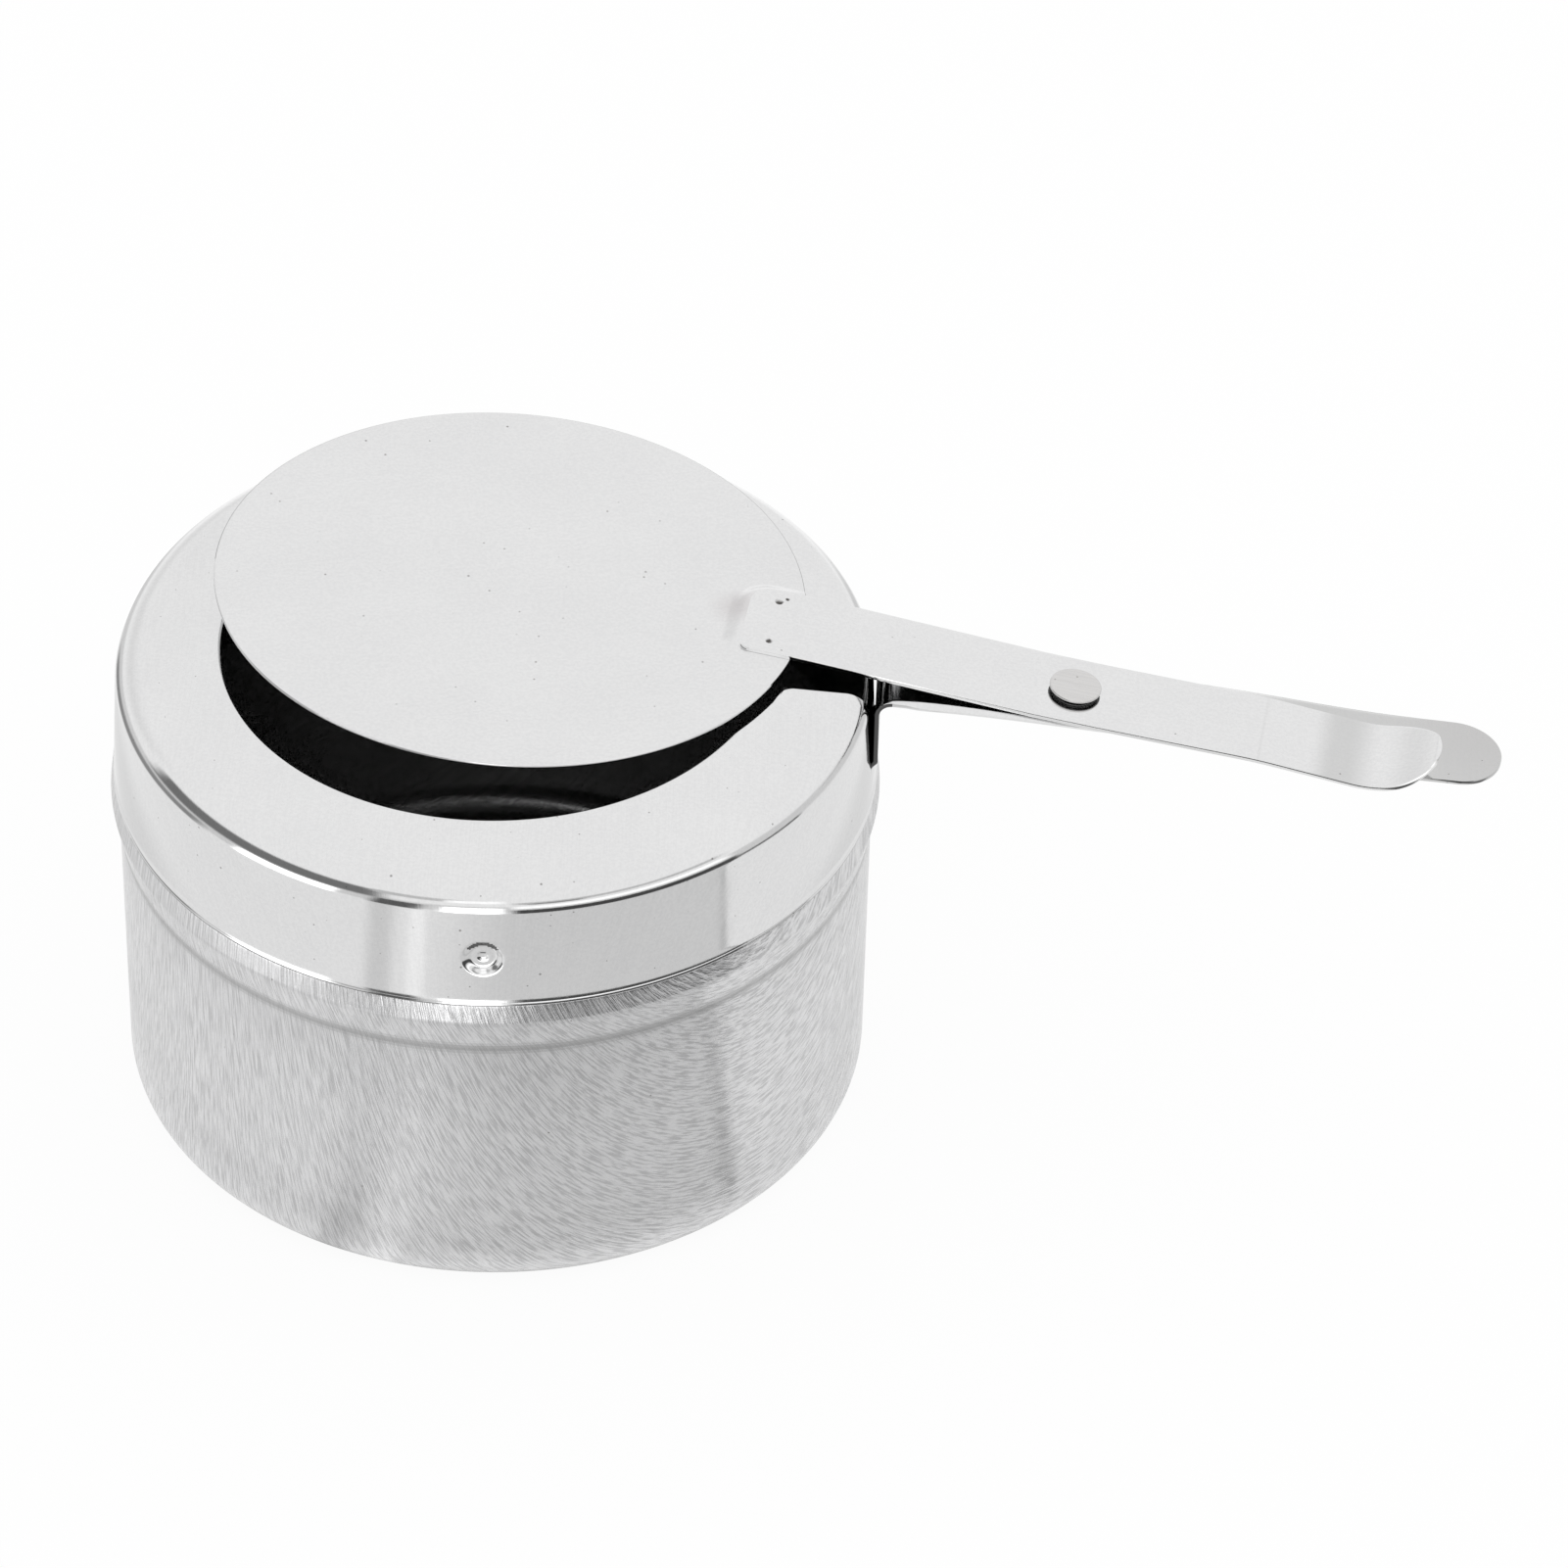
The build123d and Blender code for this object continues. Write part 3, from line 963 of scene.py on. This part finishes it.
def steel(
    name, colour, grain, roughness, line_tone, line_bump, skin_bump, speck_share, painted_shade_and_light,
    smudges_and_shade=(), bands=(), burns=(),
):
    """Stainless steel with rolled grain, a pebbled skin, specks, any smudges, darker bands and burns, and
    painted shade (on the lever a painted highlight) on marked faces.
    """
    material = bpy.data.materials.new(name)
    material.use_nodes = True
    tree = material.node_tree
    lines = use_group(tree, drawn_grain, **grain)
    skin = use_group(tree, rolled_skin, Grain_Size=skin_grain)
    spots = use_group(tree, specks, Spacing=speck_spacing, Size=speck_size, Share=speck_share)

    dark = tuple(channel * (1 - line_tone) for channel in colour)
    paint = mixed(ramp(lines["Height"], 0.4, 0.56), (*dark, 1), (*colour, 1))
    cloud = ramp(skin["Cloud"], 0.25, 0.75, 0.14, 0.0)
    pebbles = ramp(skin["Height"], 0.35, 0.65, 0.2, 0.0)
    paint = mixed(total(cloud, pebbles), paint, cloud_paint)
    smudge_and_shade = 0.0
    for centre, radius, strength, ridges in smudges_and_shade:
        mask = use_group(tree, soft_spot, Centre=centre, Radius=radius, Ridges=ridges)["Mask"]
        smudge_and_shade = calc("MAXIMUM", product(mask, strength), smudge_and_shade)
    if smudges_and_shade:
        paint = mixed(smudge_and_shade, paint, smudge_and_shade_paint)
    for start, direction, rise, hold, fall, strength in bands:
        band = use_group(
            tree, darker_band, Start=start, Direction=direction, Rise=rise, Hold=hold, Fall=fall
        )["Mask"]
        paint = mixed(product(band, strength), paint, band_paint)
    for centre, radius in burns:
        mask = use_group(tree, soft_spot, Centre=centre, Radius=radius, Ridges=0.5)["Mask"]
        paint = mixed(ramp(mask, 0.1, 0.45), paint, burn_paint)
    paint = mixed(product(spots["Mask"], 0.75), paint, speck_paint)
    # Painted shade, and on the lever a painted highlight, on the faces marked for it.
    painted_mark = tree.nodes.new("ShaderNodeAttribute")
    painted_mark.attribute_name = "painted_shade_and_light"
    paint = mixed(painted_mark.outputs["Fac"], paint, (painted_shade_and_light, painted_shade_and_light, painted_shade_and_light, 1))

    cloud = ramp(skin["Cloud"], 0.2, 0.8, -0.02, 0.03)
    rough = total(cloud, roughness, ramp(lines["Tone"], 0.3, 0.7, 0.03, -0.02))
    if smudges_and_shade:
        rough = total(rough, product(smudge_and_shade, 0.2))

    fine = tree.nodes.new("ShaderNodeBump")
    fill(fine, Strength=1.0, Distance=skin_bump, Height=skin["Height"])
    coarse = tree.nodes.new("ShaderNodeBump")
    fill(coarse, Strength=1.0, Distance=line_bump, Height=lines["Height"], Normal=fine.outputs[0])
    shader = tree.nodes["Principled BSDF"]
    fill(shader, Base_Color=paint, Metallic=1.0, Roughness=rough, Normal=coarse.outputs[0])
    return material


def rolled(turn, flat_height=0.0, draw=0.0, width=0.25 * mm, length=9 * mm):
    """Direction and size of a sheet's grain, and the height where the sheet was still flat."""
    return dict(Roll_Turn=turn, Flat_Height=flat_height, Draw=draw, Line_Width=width, Line_Length=length)


pot_grain = rolled(-135 * degree, draw=1.0, length=3.2 * mm)
cap_grain = rolled(-90 * degree, flat_height=ring_height, draw=1.0, width=0.22 * mm)
lid_grain = rolled(20 * degree)
lever_grain = rolled(-lid_opening)
curl_start = tuple(on_lid(lever_bend_reach + lever_straight - 5.5 * mm, 0, 0))
bend_line = tuple(on_lid(lever_bend_reach, 0, 0))
lever_way = tuple(lever_out)
weld_out = weld_inset - lever_back
weld_side = weld_spread / 2
lever_top = lever_rise + lever_sheet
near_weld = tuple(on_lid(weld_out, -weld_side, lever_top))
far_weld = tuple(on_lid(weld_out, weld_side, lever_top))
scratch_place = tuple(on_lid(weld_out + 0.9 * mm, weld_side + 0.7 * mm, lever_top))
pad_end = tuple(on_lid(-lever_back - 1.2 * mm, 2.5 * mm, 0.6 * mm))
tongue_tip = (tongue_reach - 2.5 * mm, 3.5 * mm, 0.053)

pot_metal = steel(
    "brushed pot steel", (0.78, 0.78, 0.785), pot_grain, roughness=0.2, line_tone=0.32,
    line_bump=0.07 * mm, skin_bump=0.004 * mm, speck_share=0.04, painted_shade_and_light=0.4,
)
cap_metal = steel(
    "rolled cap steel", (0.8, 0.8, 0.8), cap_grain, roughness=0.08, line_tone=0.022,
    line_bump=0.0018 * mm, skin_bump=0.0012 * mm, speck_share=0.3, painted_shade_and_light=0.12,
    # Darker towards the tongue's tip: a band and a soft spot.
    bands=(((0.085, 0, 0), (1, 0, 0), 12 * mm, 40 * mm, 1 * mm, 0.6),),
    smudges_and_shade=((tongue_tip, 12 * mm, 0.3, 0.05),),
)
lid_metal = steel(
    "rolled lid steel", (0.79, 0.79, 0.79), lid_grain, roughness=0.14, line_tone=0.01,
    line_bump=0.001 * mm, skin_bump=0.0015 * mm, speck_share=0.15, painted_shade_and_light=0.25,
    smudges_and_shade=(
        ((-0.012, 0.024, 0.06), 5 * mm, 0.2, 0.8),
        ((-0.006, 0.017, 0.06), 4 * mm, 0.2, 0.8),
        # Painted shade beside the lever's end, over the pad's flank.
        (pad_end, 4.5 * mm, 0.38, 0.1),
    ),
)
lever_metal = steel(
    "rolled lever steel", (0.8, 0.8, 0.8), lever_grain, roughness=0.12, line_tone=0.012,
    line_bump=0.0015 * mm, skin_bump=0.0012 * mm, speck_share=0.1, painted_shade_and_light=1.0,
    # Painted reflection: darker bands across the curl and along the bend.
    bands=(
        (curl_start, lever_way, 3 * mm, 1.5 * mm, 4 * mm, 0.5),
        (bend_line, lever_way, 0.2 * mm, 0.05 * mm, 0.3 * mm, 0.14),
    ),
    burns=((near_weld, 0.62 * mm), (far_weld, 0.8 * mm), (scratch_place, 0.45 * mm)),
)
rivet_metal = steel(
    "turned rivet steel", (0.68, 0.67, 0.66), lever_grain, roughness=0.24, line_tone=0.06,
    line_bump=0.002 * mm, skin_bump=0.003 * mm, speck_share=0.2, painted_shade_and_light=0.12,
)


def mark_painted_shade_and_light(piece, share):
    """Marks how far each face takes its piece's painted shade (on the lever, a painted highlight)."""
    marks = piece.data.attributes.new("painted_shade_and_light", "FLOAT", "FACE")
    for face in piece.data.polygons:
        marks.data[face.index].value = float(share(face))


# Painted shade inside the pot, on its inner base, on its neck under the cap, and softly along the crease
# under the bead.
def pot_painted_shade(face):
    inward = face.normal.x * face.center.x + face.normal.y * face.center.y < 0
    bottom = face.normal.z > 0.5 and face.center.z < base_corner
    if inward or bottom or face.center.z > shoulder_z - 0.05 * mm:
        return 1.0
    return 0.8 * smoothstep(1 - abs(face.center.z - crease_z) / (1.5 * mm)) ** 1.5


def inside_cap(face):
    """Faces under the ring and tongue's bend, behind the skirt and on the slot's far side, which take
    painted shade.
    """
    x, y = face.center.x, face.center.y
    reach = math.hypot(x, y)
    inward = face.normal.x * x + face.normal.y * y < -0.7 * reach
    slot_side = abs(y) > slot_half - 1 * mm and face.normal.y < -0.3 and x > opening_radius * 0.9
    slot_side = slot_side and (y > 0 or x > cap_radius - cap_sheet) and face.normal.z < 0.3
    return reach < strip_face + 2.5 * mm and (inward or slot_side or face.normal.z < -0.7)


def cap_painted_shade(face):
    """Painted shade on the cap's hidden side and the upper walls of its dimples."""
    return inside_cap(face) or dimple_wall_above(face)


# Painted shade on the upper walls of the skirt's dimples.
def dimple_wall_above(face):
    above = face.center.z - (ring_height - dimple_drop)
    reach = math.hypot(face.center.x, face.center.y)
    on_skirt = 0 < above < dimple_diameter / 2 and reach < skirt_radius(face.center.z) - 0.04 * mm
    return on_skirt and face.normal.z < -0.25 and reach > cap_radius - dimple_depth - 0.2 * mm


def disc_far_edge(face):
    """The disc's cut edge, where it lies over the ring at the back and right, which takes painted shade
    as a dark line.
    """
    local = face.center - disc_middle
    bearing = math.atan2(local.y, local.x)
    upright = face.normal.dot(disc_normal)
    return -25 * degree < bearing and local.length > disc_radius - 0.3 * mm and upright < 0.95


def lever_edge(face):
    """The lever's cut edge, which takes a painted highlight."""
    return abs(face.normal.dot(pivot_axis)) < 0.6


# Painted shade on the rivet below the middle of its head: its flank, shank and tail.
def rivet_flank(face):
    height = (face.center - pivot_point).dot(pivot_axis)
    head_middle = lever_sheet + 2 * running_clearance + head_height * 0.6
    return height < head_middle and face.normal.dot(pivot_axis) < 0.4


for piece, body, node, slot, material, share in (
    (pot, "pot", "pot", "pot_steel", pot_metal, pot_painted_shade),
    (cap, "cap", "cap", "cap_steel", cap_metal, cap_painted_shade),
    (lid_disc, "lid", "lid_disc", "lid_steel", lid_metal, disc_far_edge),
    (lever, "lid", "lever", "lever_steel", lever_metal, lever_edge),
    (rivet, "cap", "rivet", "rivet_steel", rivet_metal, rivet_flank),
):
    mark_painted_shade_and_light(piece, share)
    piece.data.materials.clear()
    piece.data.materials.append(material)
    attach(piece, body)
    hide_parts(node)


# Floor and studio

def make_card():
    """A card, window or dark gap of the studio, placed by its compass and height angles."""
    sizes = "Level Azimuth Elevation Centre Half_Width Height Half_Height Softness Card_Level"
    tree, given, out = new_effect("studio card", sizes, "Level")
    turn = calc("SUBTRACT", given["Azimuth"], given["Centre"])
    turn = calc("ABSOLUTE", calc("WRAP", turn, math.pi, -math.pi))
    lift = gap(given["Elevation"], given["Height"])
    side = ramp(calc("SUBTRACT", given["Half Width"], turn), 0.0, given["Softness"])
    tall = ramp(calc("SUBTRACT", given["Half Height"], lift), 0.0, given["Softness"])
    step = calc("SUBTRACT", given["Card Level"], given["Level"])
    level = total(given["Level"], product(step, product(side, tall)))
    feed(level, out["Level"])
    return tree


studio_card = make_card()


def lay_cards(tree, level, azimuth, elevation, cards):
    for *angles, card_level in cards:
        centre, half_width, height, half_height, softness = map(math.radians, angles)
        level = use_group(
            tree, studio_card, Level=level, Azimuth=azimuth, Elevation=elevation, Centre=centre,
            Half_Width=half_width, Height=height, Half_Height=half_height, Softness=softness,
            Card_Level=card_level,
        )["Level"]
    return level


# Each card: compass centre and half width, height centre and half height, softness, level
studio_cards = (
    (0, 200, -11, 15, 8, 0.74),
    (92, 30, -16, 28, 12, 1.1),
    (128, 36, 25, 20, 20, 0.88),
    (-52, 31, 12, 6, 4, 0.6),
    (-52, 31, -21, 9, 3, 0.07),
    (-52, 31, -4, 6, 3, 1.35),
    (-155, 42, 8, 18, 8, 0.2),
    (-108, 15, 21, 8, 5, 0.6),
    (-70, 9, 8.5, 4, 3, 0.3),
    (-92, 10, 19, 7, 4, 1.3),
    (-92, 9, -16, 13, 4, 2.5),
    (-141, 16, -18, 12, 4, 2.1),
    (165, 32, -20, 12, 8, 0.3),
    (-12, 12, -23, 5, 3, 0.2),
    (-111, 8, -16, 13, 4, 0.12),
)


def build_floor():
    """A pale floor that the camera sees as white, and that the metal sees with painted shadows and bright
    streaks.
    """
    floor = make_piece("floor", [(-3, -3, 0), (3, -3, 0), (3, 3, 0), (-3, 3, 0)], [(0, 1, 2, 3)])
    paint = bpy.data.materials.new("pale floor")
    paint.use_nodes = True
    tree = paint.node_tree
    shader = tree.nodes["Principled BSDF"]
    fill(shader, Base_Color=(0.97, 0.97, 0.97, 1), Roughness=1.0, Specular_IOR_Level=0.0)

    x, y, _ = split(object_place(tree))
    bearing = calc("ARCTAN2", y, x)
    reach = reach_of(x, y)

    def ring(start, full, hold, stop):
        """A round band on the floor that grows from its start and is gone at its stop."""
        return product(ramp(reach, start, full), ramp(reach, stop, hold))

    def beam(middle, outer, inner):
        """A wedge of the floor about a compass bearing, in degrees."""
        beyond = gap(bearing, math.radians(middle))
        return ramp(beyond, math.radians(outer), math.radians(inner))

    # Front right shade, with the sharp side that the pot shows as an upright line
    edge = total(y, product(x, 0.22))
    edge = calc("SUBTRACT", edge, ramp(x, 0.045, 0.075, 0.006, 0.0))
    shade = product(
        ramp(edge, -0.030, -0.0315), ramp(x, -0.04, 0.02), ramp(edge, -0.17, -0.12),
        ramp(edge, -0.032, -0.035, 2.2, 1.0), ramp(reach, 0.048, 0.051),
    )
    # Painted shadow rings that the wall shows under the bead and at its foot, and a painted bright side
    # far left
    level = total(
        0.93, product(shade, -0.2), product(ring(0.074, 0.086, 0.090, 0.098), -0.13),
        product(ring(0.0495, 0.0505, 0.051, 0.0525), -0.15), product(beam(105, 32, 18), 0.35),
    )
    # Painted shadow under the pot's own foot
    level = product(level, ramp(reach, 0.0405, 0.0445, 0.3, 1.0))
    # Painted bright and dark streaks that the skirt shows left of its dimple
    level = total(level, product(beam(-105, 3, 1), 0.16), product(beam(-114, 5, 1), -0.2))
    drop = calc("ARCTAN2", 0.05, calc("SUBTRACT", reach, cap_radius))
    level = lay_cards(tree, level, bearing, product(drop, -1.0), studio_cards)

    def shader_mix(share, first, second):
        node = new_node("ShaderNodeMixShader", first)
        for socket, value in zip(node.inputs, (share, first, second)):
            feed(value, socket)
        return node.outputs[0]

    plain = shader.outputs[0]
    seen_by_metal = fill(tree.nodes.new("ShaderNodeEmission"), Strength=level).outputs[0]
    white = fill(tree.nodes.new("ShaderNodeEmission"), Strength=1.0).outputs[0]
    paths = tree.nodes.new("ShaderNodeLightPath").outputs
    to_camera = shader_mix(paths["Is Camera Ray"], plain, shader_mix(0.93, plain, white))
    to_metal = shader_mix(paths["Is Glossy Ray"], to_camera, seen_by_metal)
    feed(to_metal, tree.nodes["Material Output"].inputs[0])
    floor.data.materials.append(paint)


def build_studio():
    """A pale room around the object, white to the camera, with darker and brighter cards."""
    world = bpy.data.worlds.new("studio")
    bpy.context.scene.world = world
    world.use_nodes = True
    tree = world.node_tree
    x, y, z = split(tree.nodes.new("ShaderNodeTexCoord").outputs["Generated"])
    azimuth = calc("ARCTAN2", y, x)
    elevation = calc("ARCSINE", z)
    level = lay_cards(tree, 1.0, azimuth, elevation, studio_cards)
    camera_sees = tree.nodes.new("ShaderNodeLightPath").outputs["Is Camera Ray"]
    level = mixed(camera_sees, level, 1.0, "FLOAT")
    fill(tree.nodes["Background"], Strength=level, Color=(1, 1, 1, 1))


build_floor()
build_studio()


# Camera at the photograph's place

def place_camera():
    azimuth = 1.5244 * degree
    elevation = 39.5248 * degree
    roll = 1.3276 * degree
    focal_pixels = 8562.0
    frame_pixels = 1601
    back = Vector((
        math.sin(azimuth) * math.cos(elevation),
        -math.cos(azimuth) * math.cos(elevation),
        math.sin(elevation),
    ))
    level = Vector((math.cos(azimuth), math.sin(azimuth), 0))
    rise = back.cross(level)
    right = level * math.cos(roll) + rise * math.sin(roll)
    up = rise * math.cos(roll) - level * math.sin(roll)
    distance = 0.99197
    aim_right = 0.03415
    aim_up = -0.01602
    place = Vector((0, 0, ring_height)) + right * aim_right + up * aim_up + back * distance
    data = bpy.data.cameras.new("camera")
    data.sensor_width = 36
    data.sensor_fit = "HORIZONTAL"
    data.lens = focal_pixels / frame_pixels * data.sensor_width
    data.clip_start = 0.01
    data.clip_end = 20
    camera = bpy.data.objects.new("camera", data)
    bpy.context.scene.collection.objects.link(camera)
    turn = Matrix((right, up, back)).transposed().to_4x4()
    camera.matrix_world = Matrix.Translation(place) @ turn
    bpy.context.scene.camera = camera


place_camera()
bpy.context.scene.view_settings.view_transform = "Standard"
